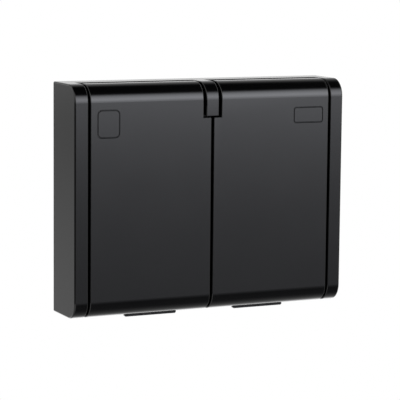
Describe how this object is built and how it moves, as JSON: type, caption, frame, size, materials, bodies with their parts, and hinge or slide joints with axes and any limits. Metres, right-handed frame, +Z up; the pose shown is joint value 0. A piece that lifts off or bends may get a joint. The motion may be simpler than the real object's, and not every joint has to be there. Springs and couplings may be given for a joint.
{
  "type": "outdoor weatherproof socket",
  "caption": "Flat black outdoor wall socket for flush boxes: side-by-side plug wells under sprung lids that wrap over the top and bottom and swing up on a hinge at the top.",
  "frame": {"origin": "middle of the four wall-box screws, on the back of the mounting plate", "axes": "+X along the width to the right as seen from the front, +Y into the wall, +Z up"},
  "size_m": [0.15, 0.0465, 0.1188],
  "materials": {
    "black_plastic": "satin moulded, fine grain",
    "well_plastic": "satin moulded",
    "grey_plastic": "moulded",
    "base_plastic": "moulded, glass filled",
    "shutter_plastic": "moulded",
    "seal_rubber": "soft, dull",
    "steel": "bright",
    "brass": "bright"
  },
  "bodies": {
    "housing": {"cover_frame": "black_plastic", "mounting_plate": "grey_plastic", "wall_gasket": "seal_rubber", "cover_screws": "steel", "insert_screws": "steel", "left_hinge_pin": "steel", "left_lid_spring": "steel", "left_socket_insert": "well_plastic", "left_well_gasket": "seal_rubber", "left_shutter_spring": "steel", "left_contact_base": "base_plastic", "left_terminal_cover": "base_plastic", "left_live_contact": "brass", "left_neutral_contact": "brass", "left_earth_clip": "steel", "left_earth_terminal": "brass", "left_terminal_screws": "steel", "left_centre_screw": "steel", "right_hinge_pin": "steel", "right_lid_spring": "steel", "right_socket_insert": "well_plastic", "right_well_gasket": "seal_rubber", "right_shutter_spring": "steel", "right_contact_base": "base_plastic", "right_terminal_cover": "base_plastic", "right_live_contact": "brass", "right_neutral_contact": "brass", "right_earth_clip": "steel", "right_earth_terminal": "brass", "right_terminal_screws": "steel", "right_centre_screw": "steel"},
    "left_lid": {"left_lid": "black_plastic", "left_lid_seal": "seal_rubber"},
    "left_shutter": {"left_shutter": "shutter_plastic"},
    "right_lid": {"right_lid": "black_plastic", "right_lid_seal": "seal_rubber"},
    "right_shutter": {"right_shutter": "shutter_plastic"}
  },
  "joints": [
    {"name": "left_lid_hinge", "type": "hinge", "parent": "housing", "child": "left_lid", "pos_m": [-0.0336, -0.018, 0.0538], "axis": [-1, 0, 0], "range_deg": [0, 100], "stiffness_Nm_per_rad": 0.02, "springref_deg": -28.65, "deforming": ["left_lid_spring"]},
    {"name": "right_lid_hinge", "type": "hinge", "parent": "housing", "child": "right_lid", "pos_m": [0.0336, -0.018, 0.0538], "axis": [-1, 0, 0], "range_deg": [0, 100], "stiffness_Nm_per_rad": 0.02, "springref_deg": -28.65, "deforming": ["right_lid_spring"]},
    {"name": "left_shutter_turn", "type": "hinge", "parent": "housing", "child": "left_shutter", "pos_m": [-0.0355, -0.0034, 0], "axis": [0, -1, 0], "range_deg": [0, 42], "stiffness_Nm_per_rad": 0.002, "springref_deg": -17.19, "deforming": ["left_shutter_spring"]},
    {"name": "right_shutter_turn", "type": "hinge", "parent": "housing", "child": "right_shutter", "pos_m": [0.0355, -0.0034, 0], "axis": [0, -1, 0], "range_deg": [0, 42], "stiffness_Nm_per_rad": 0.002, "springref_deg": -17.19, "deforming": ["right_shutter_spring"]}
  ]
}
